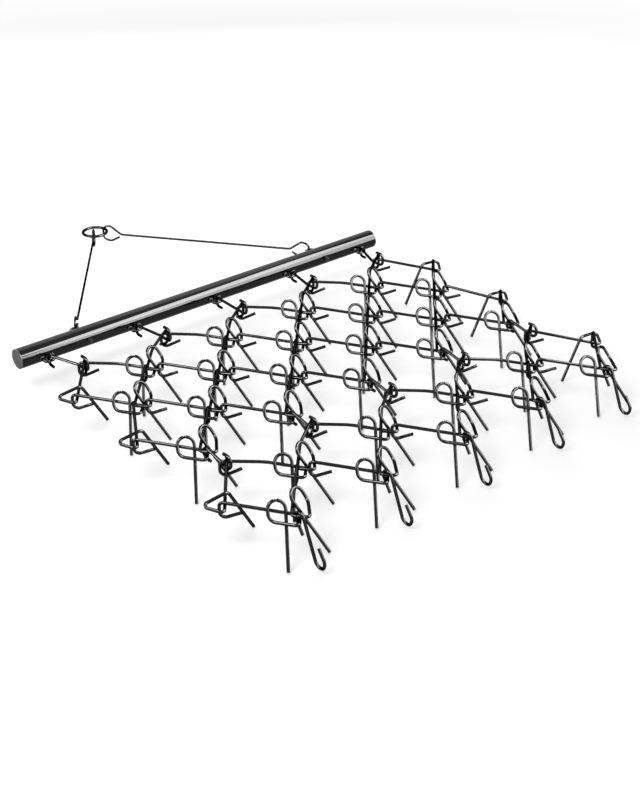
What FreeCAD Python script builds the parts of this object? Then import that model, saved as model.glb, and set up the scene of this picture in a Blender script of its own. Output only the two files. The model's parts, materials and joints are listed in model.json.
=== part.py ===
import FreeCAD, Part
import math, os

os.makedirs("parts", exist_ok=True)

# ---- driving dimensions (mm) ----
wireD = 8.0            # tine, eye and S-hook wire
fit = 0.35             # clearance between neighbouring wires
halfPitchX = 127.0     # half the spacing of the nodes of one row, across
rowPitchY = 136.2      # spacing of the rows, trailing
sectionGap = 65.3      # row 4 of the front mat to the front of the rear mat
columns = 5            # nodes on the long rows

ringR = 21.5           # centreline radius of the pigtail ring
ringA, ringC = -18.7, 18.7
ringZ = -2.2
tineLen = 125.0        # ring side to tine tip
rake = math.radians(30.0)
# mat datum above the ground the tips stand on
groundH = tineLen * math.cos(rake) + (wireD / 2.0 + 0.5) * math.sin(rake) - ringZ
liftV = 9.25            # right-hand tines sit above the left-hand ones
rodC = 12.0            # rod line beside the node
hookTop = 3.2          # front hook, upper run and lower corner
hookLow = -44.2
hookTopR, hookLowR = 9.5, 13.0
stubRun, stubRise = 50.0, 21.0
rearTip = 28.0
legR = 8.5
eyeZ = -15.9
edgeZ = -18.9

L = math.hypot(halfPitchX, rowPitchY)
step = wireD + fit
legA = rodC + 2.0 * step + 1.8  # closing leg of the rear eye
hookA = legA + step           # front bend of the following hook
eyeLine = hookA + 10.15       # where that hook takes the return leg
leadHookA = 21.0              # front bend of the leading tines
leadC = 36.2                  # where the leading pair crosses
kinkA = -62.0
rodFall = (hookTop - eyeZ) / (L - hookA + legA)

tubeD = 54.0
tubeWall = 4.0
tubeLen = 1232.0
tubeY, tubeZ = -105.0, -14.0
capT = 3.0
eyePitch = 271.8
eyeHalf = 14.0
crossY, crossZ = -61.8, -25.0
weldGap = 0.25
seat = 0.3             # slack of a hook pulled against its eye
frontBendR = 12.6
boltX = 413.0
boltD = 8.0
boltEyeR = 12.0
nutAF, nutT = 13.0, 6.5
rodD = 6.5
towY, towZ = -721.0, -24.0
towRingR = 37.0
towRingD = 9.0
eyeBoltY = tubeY - tubeD / 2.0 - 20.0
rodBendR = 13.5
rodTip = 50.0
trailLen = 112.0
eyeBendR = 14.2
trailDrop = 56.0

V = FreeCAD.Vector


def at(a, c, z):
    # node frame: a along the left-hand rods, c along the right-hand rods
    return V((c - a) * halfPitchX / L, (a + c) * rowPitchY / L, z)


def bent(points, radii):
    # straight runs joined by tangent arcs
    edges = []
    last = points[0]
    for i in range(1, len(points) - 1):
        p, q, n, r = points[i], points[i - 1], points[i + 1], radii[i - 1]
        d0 = (q - p).normalize()
        d1 = (n - p).normalize()
        turn = math.pi - d0.getAngle(d1)
        if r <= 0 or turn < 0.02:
            edges.append(Part.makeLine(last, p))
            last = p
            continue
        t = r * math.tan(turn / 2.0)
        s = p + d0 * t
        e = p + d1 * t
        bis = (d0 + d1).normalize()
        mid = p + bis * (r / math.cos(turn / 2.0) - r)
        if (s - last).Length > 1e-4:
            edges.append(Part.makeLine(last, s))
        edges.append(Part.Arc(s, mid, e).toShape())
        last = e
    edges.append(Part.makeLine(last, points[-1]))
    return edges


def wire(points, radii, d=wireD):
    edges = bent(points, radii)
    path = Part.Wire(edges)
    first = (points[1] - points[0]).normalize()
    ring = Part.Wire([Part.makeCircle(d / 2.0, points[0], first)])
    solid = path.makePipeShell([ring], True, False)
    if solid.ShapeType != "Solid":
        solid = Part.Solid(Part.Shell(solid.Faces))
    return solid


def frontHook(front, onward):
    # free stub end, lower corner and upper corner, in the rod's own upright plane
    run = V(onward.x - front.x, onward.y - front.y, 0).normalize()
    low = V(front.x, front.y, hookLow)
    stub = low + run * stubRun + V(0, 0, stubRise)
    return [stub, low, front], [hookLowR, hookTopR]


def tine(lead, edge, extra):
    # left-hand link: front hook, rod, rear eye, pigtail ring, tine
    if lead:
        front = at(leadHookA - L, leadC, hookTop)
    else:
        front = at(hookA - L, rodC, hookTop)
    if edge:
        eye = [at(34.0, eyeLine + 4.2, edgeZ), at(27.0, eyeLine - 49.0, edgeZ + 9.0),
               at(-20.0, eyeLine + 5.6, 0.5)]
        tip = eye[2] + at(-46.0, 50.0, 0) + V(0, 0, -(eye[2].z + groundH - wireD / 2.0))
        body = eye + [tip]
        rad = [legR, legR, 14.0]
    else:
        e = at(1, 0, 0)
        side = V(e.y, -e.x, 0)
        t = side * math.sin(rake) + V(0, 0, -math.cos(rake))
        n = side * math.cos(rake) + V(0, 0, math.sin(rake))
        mid = at(ringA, ringC, ringZ)
        body = [at(legA, rodC, eyeZ), at(legA, eyeLine + 2.9, eyeZ - 0.6),
                mid - e * ringR + t * ringR + n * 7.0,
                mid - e * ringR - t * ringR + n * 4.0,
                mid + e * ringR - t * ringR + n * 1.0,
                mid + e * ringR + t * (tineLen + extra) - n * 0.5]
        rad = [legR, legR] + [ringR - 0.4] * 3
        if lead:
            body.insert(0, at(kinkA, rodC, eyeZ + (legA - kinkA) * rodFall))
            rad.insert(0, 150.0)
    pts, r0 = frontHook(front, body[0])
    return pts + body, r0 + rad


def place(pts, hand, x, y):
    # left-hand as drawn, right-hand mirrored and lifted
    s, up = (1, 0) if hand == "left" else (-1, liftV)
    return [V(p.x * s + x, p.y + y, p.z + up + groundH) for p in pts]


def sHook(eyeAt, eyeR, rearY, rearZ0, rearZ1, rearR, shift=0.0, crank=0.0):
    # upright S: front bend rolled round the eye, rear bend open at the top
    y, z = eyeAt
    fall = (z + eyeR - rearZ0) / (rearY - y)
    top = z + eyeR * (1.0 + fall)
    pts = [V(shift, y + eyeR * 0.9, z - eyeR), V(shift, y - eyeR, z - eyeR), V(shift, y - eyeR, top),
           V(0, rearY, rearZ0), V(0, rearY, rearZ1), V(0, rearY - rearTip, rearZ1 - 2.0)]
    rad = [eyeR, eyeR, rearR, rearR]
    if abs(shift) > 0.1:
        # the crank lies ahead of the loops that it carries
        k = (rearY - crank - y + eyeR) / (rearY - y + eyeR)
        pts.insert(3, V(0, rearY - crank, top + (rearZ0 - top) * k))
        rad.insert(2, 20.0)
    return pts, rad


# ---- nodes ----
shapes = {}


def save(name, solids):
    shapes[name] = solids[0] if len(solids) == 1 else Part.makeCompound(solids)


def link(hand, lead, edge, x, y):
    extra = 0 if hand == "left" else liftV / math.cos(rake)
    pts, rad = tine(lead, edge, 0 if edge else extra)
    if edge and hand == "right":
        pts[-1] = pts[-1] - V(0, 0, liftV)
    return wire(place(pts, hand, x, y), rad)


# mat links, one left-hand and one right-hand per node
sections = [(0.0, 4, 1), (4 * rowPitchY + sectionGap, 2, 5)]
x0 = (columns - 1) * halfPitchX
for yStart, gaps, firstRow in sections:
    for g in range(1, gaps + 1):
        y = yStart + g * rowPitchY
        lead = g == 1
        for k in range(columns):
            if g % 2 == 1:
                # odd rows: left-hand link one half pitch out, right-hand link one in
                leftX = x0 - 2 * halfPitchX * k - halfPitchX
                rightX = x0 - 2 * halfPitchX * k + halfPitchX
                leftEdge, rightEdge = k == columns - 1, k == 0
            else:
                leftX = rightX = x0 - 2 * halfPitchX * k
                leftEdge = rightEdge = False
            save("tine_pair_r%d_%d" % (firstRow + g - 1, k + 1),
                 [link("left", lead, leftEdge, leftX, y),
                  link("right", lead, rightEdge, rightX, y)])

# S-hooks: drawbar to front mat, mat to mat, and trailing
leadY = 2 * leadC * rowPitchY / L - 2.6
eyeY = 2 * legA * rowPitchY / L
eyeMidZ = eyeZ - 0.4 + liftV / 2.0
hookMidY = leadY + 20.5


def saveHook(name, pts, rad, x, y):
    save(name, [wire([V(p.x + x, p.y + y, p.z + groundH) for p in pts], rad)])


for k in range(columns):
    x = x0 - 2 * halfPitchX * k
    pulled = crossY + frontBendR - wireD - seat
    top = 21.4 if k > 0 else 20.95  # the straight edge link passes lower
    pts, rad = sHook((pulled, crossZ), frontBendR, hookMidY, -14.6, top, 14.0,
                     (2 - k) * eyePitch - x, 46.0)
    saveHook("front_hook_%d" % (k + 1), pts, rad, x, 0)
    pts, rad = sHook((eyeY, eyeMidZ), eyeBendR, hookMidY + sectionGap, -14.6, top, 14.0)
    saveHook("mid_hook_%d" % (k + 1), pts, rad, x, 4 * rowPitchY)
    # trailing hooks swing down about the last row's eyes
    pts, rad = sHook((eyeY, eyeMidZ), eyeBendR, eyeY + trailLen, eyeMidZ, eyeMidZ + 31.0, 14.0)
    pivot = V(0, eyeY, eyeMidZ)
    swing = FreeCAD.Rotation(V(1, 0, 0), -trailDrop)
    pts = [swing.multVec(p - pivot) + pivot for p in pts]
    saveHook("rear_hook_%d" % (k + 1), pts, rad, x, 6 * rowPitchY + sectionGap)

# drawbar
tz = tubeZ + groundH
R = tubeD / 2.0
bar = Part.makeCylinder(R, tubeLen - 2 * capT, V(-tubeLen / 2.0 + capT, tubeY, tz), V(1, 0, 0))
bore = Part.makeCylinder(R - tubeWall, tubeLen, V(-tubeLen / 2.0, tubeY, tz), V(1, 0, 0))
bar = bar.cut(bore)
for s in (-1, 1):
    hole = Part.makeCylinder(boltD / 2.0 + 0.3, tubeD + 20, V(s * boltX, tubeY - R - 10, tz), V(0, 1, 0))
    bar = bar.cut(hole)
save("drawbar_tube", [bar])
for s, name in ((1, "left"), (-1, "right")):
    x = s * (tubeLen / 2.0) - (capT if s > 0 else 0)
    save("end_cap_" + name, [Part.makeCylinder(R, capT, V(x, tubeY, tz), V(1, 0, 0))])

# U-eyes under the rear of the tube
aim = V(0, crossY - tubeY, crossZ - tubeZ).normalize()
keep = Part.makeCylinder(R + weldGap, tubeLen, V(-tubeLen / 2.0, tubeY, tz), V(1, 0, 0))
for k in range(columns):
    x = (2 - k) * eyePitch
    c = V(x, crossY, crossZ + groundH)
    root = V(x, tubeY, tz) + aim * (R - 6.0)
    side = V(eyeHalf, 0, 0)
    eye = wire([root + side, c + side, c - side, root - side], [7.0, 7.0]).cut(keep)
    save("rear_eye_%d" % (k + 1), [eye])

# eye bolts, nuts, pull rods, tow ring
tow = V(0, towY, towZ + groundH)
save("tow_ring", [Part.makeTorus(towRingR, towRingD / 2.0, tow, V(0, 0, 1))])
for s, name in ((1, "left"), (-1, "right")):
    x = s * boltX
    back = tubeY + R + 0.3
    c = V(x, eyeBoltY, tz)
    shank = Part.makeCylinder(boltD / 2.0, back + nutT + 4.0 - (eyeBoltY + boltEyeR),
                              V(x, eyeBoltY + boltEyeR, tz), V(0, 1, 0))
    eye = Part.makeTorus(boltEyeR, boltD / 2.0, c, V(0, 0, 1))
    save("eye_bolt_" + name, [shank.fuse(eye)])
    corners = []
    for i in range(7):
        a = math.radians(60 * i)
        corners.append(V(x + nutAF / math.sqrt(3) * math.cos(a), back,
                         tz + nutAF / math.sqrt(3) * math.sin(a)))
    nut = Part.Face(Part.makePolygon(corners)).extrude(V(0, nutT, 0))
    nut = nut.cut(Part.makeCylinder(boltD / 2.0 + 0.3, 40, V(x, back - 10, tz), V(0, 1, 0)))
    save("bolt_nut_" + name, [nut])
    # upright open hooks: round the bolt eye behind, round the tow ring ahead
    u = V(tow.x - c.x, tow.y - c.y, 0).normalize()
    near = c + u * boltEyeR
    far = tow - u * towRingR
    up = V(0, 0, rodBendR)
    near = near - u * ((boltD + rodD) / 2.0 + fit)
    far = far + u * ((towRingD + rodD) / 2.0 + fit)
    flat, tip = u * 24.0, u * rodTip + V(0, 0, 12)
    pts = [near - up + tip, near - up + flat, near - up, near + up,
           far + up, far - up, far - up - flat, far - up - u * rodTip + V(0, 0, 12)]
    b = rodBendR - 0.1
    save("pull_rod_" + name, [wire(pts, [14.0, b, b, b, b, 14.0], rodD)])

# origin on the ground, midway from the tow ring's front to the trailing hooks' rear
front = towY - towRingR - towRingD / 2.0
rear = shapes["rear_hook_1"].optimalBoundingBox(False, False).YMax
originY = (front + rear) / 2.0
for name, shape in shapes.items():
    shape.translate(V(0, -originY, 0))
    shape.exportStep("parts/" + name + ".step")
    print(name, len(shape.Solids), round(shape.Volume / 1000.0, 1))
print("origin", round(originY, 3))
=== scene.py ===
import json
import math
import bpy
from mathutils import Matrix, Vector


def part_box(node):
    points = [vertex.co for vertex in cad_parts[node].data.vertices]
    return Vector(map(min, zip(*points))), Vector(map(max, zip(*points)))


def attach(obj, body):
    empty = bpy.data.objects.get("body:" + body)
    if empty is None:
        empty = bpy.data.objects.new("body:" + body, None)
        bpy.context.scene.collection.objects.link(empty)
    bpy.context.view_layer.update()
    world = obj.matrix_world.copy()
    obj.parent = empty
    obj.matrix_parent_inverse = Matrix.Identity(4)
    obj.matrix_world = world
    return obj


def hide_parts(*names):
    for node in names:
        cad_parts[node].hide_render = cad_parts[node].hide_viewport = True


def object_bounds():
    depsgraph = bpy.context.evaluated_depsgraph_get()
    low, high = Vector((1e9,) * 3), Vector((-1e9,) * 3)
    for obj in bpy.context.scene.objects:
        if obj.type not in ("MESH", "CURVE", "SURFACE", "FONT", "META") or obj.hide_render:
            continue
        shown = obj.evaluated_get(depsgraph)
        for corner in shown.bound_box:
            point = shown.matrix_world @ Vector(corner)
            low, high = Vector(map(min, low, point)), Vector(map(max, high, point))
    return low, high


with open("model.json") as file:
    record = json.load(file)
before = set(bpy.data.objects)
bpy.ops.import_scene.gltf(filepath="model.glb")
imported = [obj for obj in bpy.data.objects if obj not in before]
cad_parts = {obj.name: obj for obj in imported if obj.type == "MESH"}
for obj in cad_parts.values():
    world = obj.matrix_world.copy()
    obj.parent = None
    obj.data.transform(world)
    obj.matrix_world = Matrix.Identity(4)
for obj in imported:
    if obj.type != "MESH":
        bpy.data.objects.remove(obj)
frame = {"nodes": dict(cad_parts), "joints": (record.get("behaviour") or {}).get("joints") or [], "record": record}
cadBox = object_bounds()
nodes = frame["nodes"]


def linear(hexCode):
    # sRGB hex to linear light, with alpha 1
    parts = [int(hexCode[i:i + 2], 16) / 255.0 for i in (1, 3, 5)]
    return [c / 12.92 if c <= 0.04045 else ((c + 0.055) / 1.055) ** 2.4 for c in parts] + [1.0]


def addNode(tree, kind, settings=None, links=None):
    # one shader node: settings go to sockets or properties, links join other sockets to its inputs
    node = tree.nodes.new(kind)
    for name, value in (settings or {}).items():
        if name in node.inputs:
            node.inputs[name].default_value = value
        else:
            setattr(node, name, value)
    for name, source in (links or {}).items():
        tree.links.new(source, node.inputs[name])
    return node


def newMaterial(name):
    material = bpy.data.materials.new(name)
    material.use_nodes = True
    material.node_tree.nodes.clear()
    return material, material.node_tree


# steel with a polished black nickel finish: near black face on, with hard bright glints along the wire and a
# pale rim on the tube; the caps, the hardware and the welds are painted satin black
steelFinishes = {
    "blackNickelWire": {"dark": "#252525", "light": "#313131", "roughness": (0.13, 0.2), "rim": "#303030",
                        "peelSize": 0.0030, "peelDepth": 0.00002, "driftSize": 0.060},
    "blackNickelTube": {"dark": "#232323", "light": "#2b2b2b", "roughness": (0.09, 0.12), "rim": "#c8c8c8",
                        "peelSize": 0.0060, "peelDepth": 0.00002, "driftSize": 0.180},
    "satinCapPaint": {"dark": "#0f0f0f", "light": "#181818", "roughness": (0.38, 0.5), "rim": None,
                      "peelSize": 0.0040, "peelDepth": 0.00006, "driftSize": 0.020},
    "blackenedHardware": {"dark": "#101012", "light": "#26262a", "roughness": (0.25, 0.38), "rim": None,
                          "peelSize": 0.0015, "peelDepth": 0.00003, "driftSize": 0.012},
    "paintedWeld": {"dark": "#0c0c0d", "light": "#1c1c1f", "roughness": (0.2, 0.34), "rim": None,
                    "peelSize": 0.0018, "peelDepth": 0.00012, "driftSize": 0.010},
}
glossSpread = (0.3, 0.7)  # the part of the drift pattern over which the roughness changes
grainStrength = 0.6


def coatedSteel(name):
    finish = steelFinishes[name]
    material, tree = newMaterial(name)
    place = addNode(tree, "ShaderNodeTexCoord").outputs["Object"]
    drift = addNode(tree, "ShaderNodeTexNoise", {"Scale": 1.0 / finish["driftSize"], "Detail": 3.0},
                    {"Vector": place})
    colour = addNode(tree, "ShaderNodeMix", {"data_type": "RGBA"}, {"Factor": drift.outputs["Fac"]})
    colour.inputs[6].default_value = linear(finish["dark"])
    colour.inputs[7].default_value = linear(finish["light"])
    low, high = finish["roughness"]
    gloss = addNode(tree, "ShaderNodeMapRange",
                    {"From Min": glossSpread[0], "From Max": glossSpread[1], "To Min": low, "To Max": high},
                    {"Value": drift.outputs["Fac"]})
    # coating grain is under a millimetre; it is drawn a little coarser so that it shows
    peel = addNode(tree, "ShaderNodeTexNoise", {"Scale": 1.0 / finish["peelSize"], "Detail": 2.0},
                   {"Vector": place})
    bump = addNode(tree, "ShaderNodeBump", {"Strength": grainStrength, "Distance": finish["peelDepth"]},
                   {"Height": peel.outputs["Fac"]})
    # a plated finish reflects like a dark metal, a painted one like lacquer
    body = {"Metallic": 1.0, "Specular Tint": linear(finish["rim"])} if finish["rim"] else {"Metallic": 0.0}
    shader = addNode(tree, "ShaderNodeBsdfPrincipled", body,
                     {"Base Color": colour.outputs[2], "Roughness": gloss.outputs["Result"],
                      "Normal": bump.outputs["Normal"]})
    addNode(tree, "ShaderNodeOutputMaterial", None, {"Surface": shader.outputs["BSDF"]})
    return material


finishes = {name: coatedSteel(name) for name in steelFinishes}
slotFinish = {"tine_wire": "blackNickelWire", "hook_wire": "blackNickelWire",
              "eye_wire": "blackNickelWire", "rod_steel": "blackNickelWire",
              "ring_steel": "blackNickelWire", "bar_paint": "blackNickelTube",
              "cap_paint": "satinCapPaint", "bolt_steel": "blackenedHardware",
              "nut_steel": "blackenedHardware"}
slotOf = {part["node"]: part["material_slot"] for part in frame["record"]["subparts"]}
for name, piece in nodes.items():
    piece.data.materials.clear()
    piece.data.materials.append(finishes[slotFinish[slotOf[name]]])
print("finishes on", len(nodes), "nodes")


def finishPiece(piece, name, body, finish):
    # place goes into the mesh, then the piece gets its finish and rides on its body
    bpy.ops.object.select_all(action="DESELECT")
    piece.select_set(True)
    bpy.context.view_layer.objects.active = piece
    bpy.ops.object.transform_apply(location=True, rotation=True, scale=True)
    piece.name = name
    piece.data.materials.clear()
    piece.data.materials.append(finishes[finish])
    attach(piece, body)
    return piece


mm = 0.001
# steps along each arc and round the wire, the least bend in radians, and the smooth angle in degrees
wireSmoothness = {"alongArc": 9, "around": 5, "leastTurn": 0.02, "smoothUpTo": 50}


def bentWire(points, radii, wireRadius):
    # one round wire through corner points in mm: straight runs joined by tangent arcs, ends cut square
    stations = [(points[0], None, None)]
    for before, corner, after, radius in zip(points, points[1:], points[2:], radii):
        inward = (corner - before).normalized()
        outward = (after - corner).normalized()
        turn = inward.angle(outward)
        if turn < wireSmoothness["leastTurn"]:
            continue
        setback = radius * math.tan(turn / 2)
        reach = 4 / 3 * math.tan(turn / 4) * radius
        stations.append((corner - inward * setback, None, inward * reach))
        stations.append((corner + outward * setback, -outward * reach, None))
    stations.append((points[-1], None, None))
    bpy.ops.object.select_all(action="DESELECT")
    bpy.ops.curve.primitive_bezier_curve_add(location=(0, 0, 0))
    wire = bpy.context.active_object
    spline = wire.data.splines[0]
    spline.bezier_points.add(len(stations) - 2)
    for i, (place, back, ahead) in enumerate(stations):
        last = stations[max(i - 1, 0)][0]
        following = stations[min(i + 1, len(stations) - 1)][0]
        knot = spline.bezier_points[i]
        knot.handle_left_type = knot.handle_right_type = "FREE"
        knot.co = place * mm
        knot.handle_left = (place + (back if back else (last - place) / 3)) * mm
        knot.handle_right = (place + (ahead if ahead else (following - place) / 3)) * mm
    wire.data.resolution_u = wireSmoothness["alongArc"]
    wire.data.bevel_resolution = wireSmoothness["around"]
    wire.data.bevel_depth = wireRadius * mm
    wire.data.use_fill_caps = True
    bpy.ops.object.convert(target="MESH")
    bpy.ops.object.shade_smooth_by_angle(angle=math.radians(wireSmoothness["smoothUpTo"]))
    return bpy.context.active_object


def joined(pieces):
    # several wires of one body as one piece
    bpy.ops.object.select_all(action="DESELECT")
    for piece in pieces:
        piece.select_set(True)
    bpy.context.view_layer.objects.active = pieces[0]
    bpy.ops.object.join()
    return pieces[0]


jointAt = {joint["name"]: Vector(joint["pos_m"]) / mm for joint in frame["joints"]}

# the mat's pitch comes from the hinges: one row behind another, and two half pitches between trailing hooks
rowPitch = jointAt["row_3_fold"].y - jointAt["row_2_fold"].y
halfPitch = (jointAt["trailing_hook_1_swing"].x - jointAt["trailing_hook_2_swing"].x) / 2
slant = math.hypot(halfPitch, rowPitch)
mat = {"hubBehindHinge": 46.0, "hubOverHinge": 12.7, "frontRows": 4, "rows": 6, "columns": 5}
datum = jointAt["row_3_fold"].z + mat["hubOverHinge"]

# one tine link in mm: front hook, rod, rear eye, pigtail ring, tine; a runs along left-hand rods, c along
# right-hand rods, and the tine's end stands on the ground a little over half a wire's radius up
link = {"wireRadius": 4.0, "endLift": 0.62, "rightHandRise": 9.25,
        "hookTop": 3.2, "hookLow": -41.1, "hookTopRadius": 9.5, "hookLowRadius": 13.0,
        "stubRun": 50.0, "stubRise": 21.0, "hookA": 38.85, "rodC": 12.0,
        "eyeA": 30.5, "eyeC": 52.6, "eyeZ": -15.9, "eyeEndZ": -16.3, "eyeRadius": 8.5,
        "leadHookA": 21.0, "leadC": 36.2, "leadKinkA": -62.0, "leadKinkRadius": 150.0}
ring = {"radius": 21.5, "middle": (27.6, 0.0, -1.5), "yaw": 19.4, "pitch": 34.7, "splay": 2.8,
        "startOut": 3.3, "topOut": 2.5, "sideOut": 2.7, "cornerEase": 1.2, "tineTip": (58.0, 75.5)}
edgeEye = {"corner": (34.0, 53.2, -18.9), "inner": (27.0, 0.0, -9.9), "outer": (-20.0, 54.6, 0.5),
           "tineA": -46.0, "tineC": 50.0, "bendRadius": 14.0}


def slanted(a, c, z):
    # a place given along the two slanted rod directions, in mm from the hub
    return Vector(((c - a) * halfPitch / slant, (a + c) * rowPitch / slant, z))


def linkRoute(leading, atEdge, rise):
    # corner points and bend radii of a left-hand link; rise is how far it is lifted over the hub's datum
    if leading:
        front = slanted(link["leadHookA"] - slant, link["leadC"], link["hookTop"])
    else:
        front = slanted(link["hookA"] - slant, link["rodC"], link["hookTop"])
    ground = -datum + link["wireRadius"] * link["endLift"] - rise
    if atEdge:
        outer = slanted(*edgeEye["outer"])
        foot = slanted(edgeEye["tineA"], edgeEye["tineC"], 0)
        body = [slanted(*edgeEye["corner"]), slanted(*edgeEye["inner"]), outer,
                Vector((outer.x + foot.x, outer.y + foot.y, ground))]
        bends = [link["eyeRadius"], link["eyeRadius"], edgeEye["bendRadius"]]
    else:
        yaw, pitch, splay = (math.radians(ring[key]) for key in ("yaw", "pitch", "splay"))
        level = Vector((-math.cos(yaw), math.sin(yaw), 0))
        fall = Vector((math.sin(yaw) * math.sin(pitch), math.cos(yaw) * math.sin(pitch), -math.cos(pitch)))
        facing = fall.cross(level).normalized()
        if facing.z < 0:
            facing = -facing
        down = fall * math.cos(splay) - level * math.sin(splay)
        across = level * math.cos(splay) + fall * math.sin(splay)
        middle, r = Vector(ring["middle"]), ring["radius"]
        tip = Vector((*ring["tineTip"], ground))
        body = [slanted(link["eyeA"], link["rodC"], link["eyeZ"]),
                slanted(link["eyeA"], link["eyeC"], link["eyeEndZ"]),
                middle - across * r + down * r + facing * ring["startOut"],
                middle - across * r - down * r + facing * ring["topOut"],
                middle + across * r - down * r + facing * ring["sideOut"], tip]
        bends = [link["eyeRadius"]] * 2 + [r - ring["cornerEase"]] * 3
        if leading:
            rodFall = (link["hookTop"] - link["eyeZ"]) / (slant - link["hookA"] + link["eyeA"])
            kink = link["eyeZ"] + (link["eyeA"] - link["leadKinkA"]) * rodFall
            body.insert(0, slanted(link["leadKinkA"], link["rodC"], kink))
            bends.insert(0, link["leadKinkRadius"])
    run = Vector((body[0].x - front.x, body[0].y - front.y, 0)).normalized()
    low = Vector((front.x, front.y, link["hookLow"]))
    stub = low + run * link["stubRun"] + Vector((0, 0, link["stubRise"]))
    return [stub, low, front] + body, [link["hookLowRadius"], link["hookTopRadius"]] + bends


def tineWire(hand, leading, atEdge, x, y):
    side, rise = (1, 0) if hand == "left" else (-1, link["rightHandRise"])
    route, bends = linkRoute(leading, atEdge, rise)
    placed = [Vector((p.x * side + x, p.y + y, p.z + rise + datum)) for p in route]
    return bentWire(placed, bends, link["wireRadius"])


def standIn(piece, name, body, finish, node):
    # the finished piece takes the place of a CAD node
    finishPiece(piece, name, body, finish)
    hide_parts(node)


firstRowY = jointAt["row_2_fold"].y - mat["hubBehindHinge"]
rearRowY = jointAt["row_6_fold"].y - mat["hubBehindHinge"]
outerX = jointAt["trailing_hook_1_swing"].x
firstRearRow = mat["frontRows"] + 1
for row in range(1, mat["rows"] + 1):
    if row < firstRearRow:
        y = firstRowY + (row - 1) * rowPitch
    else:
        y = rearRowY + (row - firstRearRow) * rowPitch
    for k in range(mat["columns"]):
        middleX = outerX - 2 * halfPitch * k
        oddRow = row % 2 == 1
        reach = halfPitch if oddRow else 0  # odd rows stand half a pitch to each side
        leading = row in (1, firstRearRow)
        wires = [tineWire("left", leading, oddRow and k == mat["columns"] - 1, middleX - reach, y),
                 tineWire("right", leading, oddRow and k == 0, middleX + reach, y)]
        standIn(joined(wires), "tineLinksR%dC%d" % (row, k + 1), "mat_row_%d" % row,
                "blackNickelWire", "tine_pair_r%d_%d" % (row, k + 1))
print("tine links in place")

# trailing S-hooks in mm: a close bend with a free tail round the eyes, a kinked shank, a wide open bend
trailing = {"count": 5, "wireRadius": 4.0, "eyeBend": 14.2, "tail": 25.0, "tailStart": 0.9,
            "length": 117.5, "kink": 8.0, "openBend": 18.0, "slack": 1.0, "tip": 46.0, "tipDrop": 2.0,
            "hang": 56.0}
for k in range(1, trailing["count"] + 1):
    pivot = jointAt["trailing_hook_%d_swing" % k]
    r, low = trailing["eyeBend"], -trailing["kink"]
    top = r * (1 + (r - low) / trailing["length"])
    high = low + 2 * trailing["openBend"] + trailing["slack"]
    end = trailing["length"]
    route = [(r * trailing["tailStart"] + trailing["tail"], -r), (-r, -r), (-r, top), (end, low),
             (end, high), (end - trailing["tip"], high - trailing["tipDrop"])]
    swing = Matrix.Rotation(math.radians(-trailing["hang"]), 3, "X")
    placed = [pivot + swing @ Vector((0, along, up)) for along, up in route]
    bends = [r, r, trailing["openBend"], trailing["openBend"]]
    standIn(bentWire(placed, bends, trailing["wireRadius"]), "trailingHook%d" % k, "trailing_hook_%d" % k,
            "blackNickelWire", "rear_hook_%d" % k)
print("trailing hooks in place")

# pull rods in mm: an open teardrop loop at both ends, upright, with its tip turned back under the rod
pullRod = {"wireRadius": 3.25, "play": 0.35, "boltEyeRadius": 12.0, "boltWire": 8.0, "ringWire": 9.0,
           "tip": (53.0, -9.0), "under": (26.0, -24.0), "half": 20.0, "over": (24.0, 26.0), "neck": 60.0,
           "bends": (14.0, 15.5, 15.5, 13.0, 20.0)}
towLow, towHigh = (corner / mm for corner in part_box("tow_ring"))
towMiddle = (towLow + towHigh) / 2
towRadius = (towHigh.x - towLow.x) / 2 - pullRod["ringWire"] / 2
for side in ("left", "right"):
    eyeLow, eyeHigh = (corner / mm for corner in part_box("eye_bolt_" + side))
    eyeReach = pullRod["boltEyeRadius"] + pullRod["boltWire"] / 2
    eye = Vector(((eyeLow.x + eyeHigh.x) / 2, eyeLow.y + eyeReach, (eyeLow.z + eyeHigh.z) / 2))
    along = Vector((towMiddle.x - eye.x, towMiddle.y - eye.y, 0)).normalized()
    wire = 2 * pullRod["wireRadius"]
    near = eye + along * (pullRod["boltEyeRadius"] - (pullRod["boltWire"] + wire) / 2 - pullRod["play"])
    far = towMiddle - along * (towRadius - (pullRod["ringWire"] + wire) / 2 - pullRod["play"])
    ends = []
    for inner, outward in ((near, along), (far, -along)):
        offsets = [pullRod["tip"], pullRod["under"], (0, -pullRod["half"]), (0, pullRod["half"]),
                   pullRod["over"], (pullRod["neck"], 0)]
        ends.append([inner + outward * out + Vector((0, 0, up)) for out, up in offsets])
    bends = list(pullRod["bends"])
    standIn(bentWire(ends[0] + ends[1][::-1], bends + bends[::-1], pullRod["wireRadius"]), "pullRod_" + side,
            side + "_pull_rod", "blackNickelWire", "pull_rod_" + side)
print("pull rods in place")

# a ripple weld round each leg of the tube's rear eyes, in metres
beadSize = {"wireRadius": 0.0040, "outside": 0.0008, "overTube": 0.0006, "bead": 0.0021,
            "ripples": 11, "rippleDepth": 0.0004, "segments": 44, "sides": 10}
barLow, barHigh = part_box("drawbar_tube")
barMid = (barLow + barHigh) / 2
barRadius = (barHigh.z - barLow.z) / 2


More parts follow.
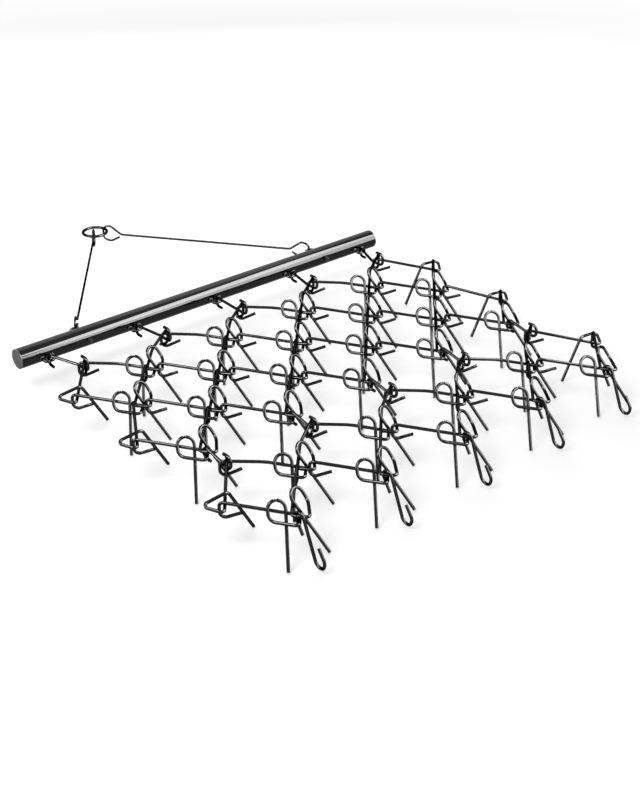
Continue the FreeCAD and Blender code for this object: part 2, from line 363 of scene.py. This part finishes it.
def weldBead(centre, direction):
    bpy.ops.object.select_all(action="DESELECT")
    radius = beadSize["wireRadius"] + beadSize["outside"]
    bpy.ops.mesh.primitive_torus_add(major_segments=beadSize["segments"], minor_segments=beadSize["sides"],
                                     major_radius=radius, minor_radius=beadSize["bead"], location=(0, 0, 0))
    bead = bpy.context.active_object
    for vertex in bead.data.vertices:
        angle = math.atan2(vertex.co.y, vertex.co.x)
        swell = 1 + beadSize["rippleDepth"] / beadSize["bead"] * math.cos(beadSize["ripples"] * angle)
        core = Vector((math.cos(angle), math.sin(angle), 0)) * radius
        vertex.co = core + (vertex.co - core) * swell
    turn = Vector((0, 0, 1)).rotation_difference(direction).to_matrix().to_4x4()
    bead.data.transform(Matrix.Translation(centre) @ turn)
    bpy.ops.object.shade_smooth()
    return bead


beads = 0
for k in range(1, 6):
    low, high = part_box("rear_eye_%d" % k)
    middle = (low + high) / 2
    for side in (-1, 1):
        x = middle.x + side * ((high.x - low.x) / 2 - beadSize["wireRadius"])
        # the leg meets the tube on the line from the tube's axis to the eye's foot
        foot = Vector((x, high.y - beadSize["wireRadius"], low.z + beadSize["wireRadius"]))
        aim = (foot - Vector((x, barMid.y, barMid.z))).normalized()
        root = Vector((x, barMid.y, barMid.z)) + aim * (barRadius + beadSize["overTube"])
        beads += 1
        finishPiece(weldBead(root, aim), "eyeWeld%02d" % beads, "drawbar", "paintedWeld")
print("weld beads", beads)


def backgroundFactor(tree):
    # 1 for rays that see the backdrop straight on, in a reflection or through glass
    path = addNode(tree, "ShaderNodeLightPath")
    first = addNode(tree, "ShaderNodeMath", {"operation": "MAXIMUM"})
    tree.links.new(path.outputs["Is Camera Ray"], first.inputs[0])
    tree.links.new(path.outputs["Is Glossy Ray"], first.inputs[1])
    both = addNode(tree, "ShaderNodeMath", {"operation": "MAXIMUM"})
    tree.links.new(first.outputs[0], both.inputs[0])
    tree.links.new(path.outputs["Is Transmission Ray"], both.inputs[1])
    return both.outputs[0]


studio = {"floorSize": 60.0, "floorGap": 0.0005, "floorColour": "#c8c8c8", "floorLift": 0.575,
          "farLift": 0.95, "liftFrom": 2.2, "liftTo": 6.0, "worldLight": 0.3}

bpy.ops.mesh.primitive_plane_add(size=studio["floorSize"], location=(0, 0, cadBox[0].z - studio["floorGap"]))
floor = bpy.context.active_object
floor.name = "paleFloor"
floorPaint, tree = newMaterial("matWhitePaper")
matt = addNode(tree, "ShaderNodeBsdfDiffuse", {"Color": linear(studio["floorColour"])})
lift = addNode(tree, "ShaderNodeMath", {"operation": "MULTIPLY"})
tree.links.new(backgroundFactor(tree), lift.inputs[0])
away = addNode(tree, "ShaderNodeVectorMath", {"operation": "LENGTH"},
               {"Vector": addNode(tree, "ShaderNodeTexCoord").outputs["Object"]})
# the paper fades to the white of the studio well away from the part
fade = addNode(tree, "ShaderNodeMapRange",
               {"From Min": studio["liftFrom"], "From Max": studio["liftTo"],
                "To Min": studio["floorLift"], "To Max": studio["farLift"]},
               {"Value": away.outputs["Value"]})
tree.links.new(fade.outputs["Result"], lift.inputs[1])
glow = addNode(tree, "ShaderNodeEmission", {"Color": (1, 1, 1, 1)}, {"Strength": lift.outputs[0]})
both = addNode(tree, "ShaderNodeAddShader")
tree.links.new(matt.outputs[0], both.inputs[0])
tree.links.new(glow.outputs[0], both.inputs[1])
addNode(tree, "ShaderNodeOutputMaterial", None, {"Surface": both.outputs[0]})
floor.data.materials.append(floorPaint)

world = bpy.data.worlds.new("whiteStudio")
bpy.context.scene.world = world
world.use_nodes = True
tree = world.node_tree
tree.nodes.clear()
level = addNode(tree, "ShaderNodeMapRange", {"To Min": studio["worldLight"], "To Max": 1.0},
                {"Value": backgroundFactor(tree)})
sky = addNode(tree, "ShaderNodeBackground", {"Color": (1, 1, 1, 1)}, {"Strength": level.outputs["Result"]})
addNode(tree, "ShaderNodeOutputWorld", None, {"Surface": sky.outputs[0]})

# each lamp: centre, point it faces, width and height, watts
barPoint = Vector((0, barMid.y, barMid.z))
lamps = {
    "keySoftbox": {"at": (2.4, 0.6, 3.4), "to": (0, 0, 0), "size": (1.6, 1.6), "watts": 75},
    "backSoftbox": {"at": (-1.3, -1.9, 1.7), "to": (0, 0, 0), "size": (2.4, 2.6), "watts": 49},
    "upperStrip": {"at": (-1.20, 1.00, 1.75), "to": barPoint, "size": (2.0, 1.0), "watts": 200},
    "lowerStrip": {"at": (-1.25, 1.60, 0.85), "to": barPoint, "size": (2.0, 1.2), "watts": 150},
    "highGlint": {"at": (1.6, 0.9, 3.0), "to": (0, 0.4, 0), "size": (0.7, 0.7), "watts": 110},
    "sideGlint": {"at": (2.8, -0.8, 1.5), "to": (0, 0.4, 0), "size": (0.6, 1.2), "watts": 130},
}
glossOnly = ("upperStrip", "lowerStrip", "highGlint", "sideGlint")  # they show in reflections alone
for name, lamp in lamps.items():
    data = bpy.data.lights.new(name, "AREA")
    data.shape = "RECTANGLE"
    data.size, data.size_y = lamp["size"]
    data.energy = lamp["watts"]
    light = bpy.data.objects.new(name, data)
    bpy.context.scene.collection.objects.link(light)
    light.location = lamp["at"]
    light.rotation_euler = (Vector(lamp["to"]) - Vector(lamp["at"])).to_track_quat("-Z", "Y").to_euler()
    light.visible_diffuse = name not in glossOnly
print("floor and lamps")

shot = {"at": (1.9989, 2.6480, 1.7656), "to": (0.1631, 0.4566, 0.1127), "lens": 60.757, "sensor": 36.0}
cameraData = bpy.data.cameras.new("studioCamera")
cameraData.lens = shot["lens"]
cameraData.sensor_width = shot["sensor"]
camera = bpy.data.objects.new("studioCamera", cameraData)
bpy.context.scene.collection.objects.link(camera)
camera.location = shot["at"]
camera.rotation_euler = (Vector(shot["to"]) - Vector(shot["at"])).to_track_quat("-Z", "Y").to_euler()
bpy.context.scene.camera = camera
bpy.context.scene.view_settings.view_transform = "Standard"
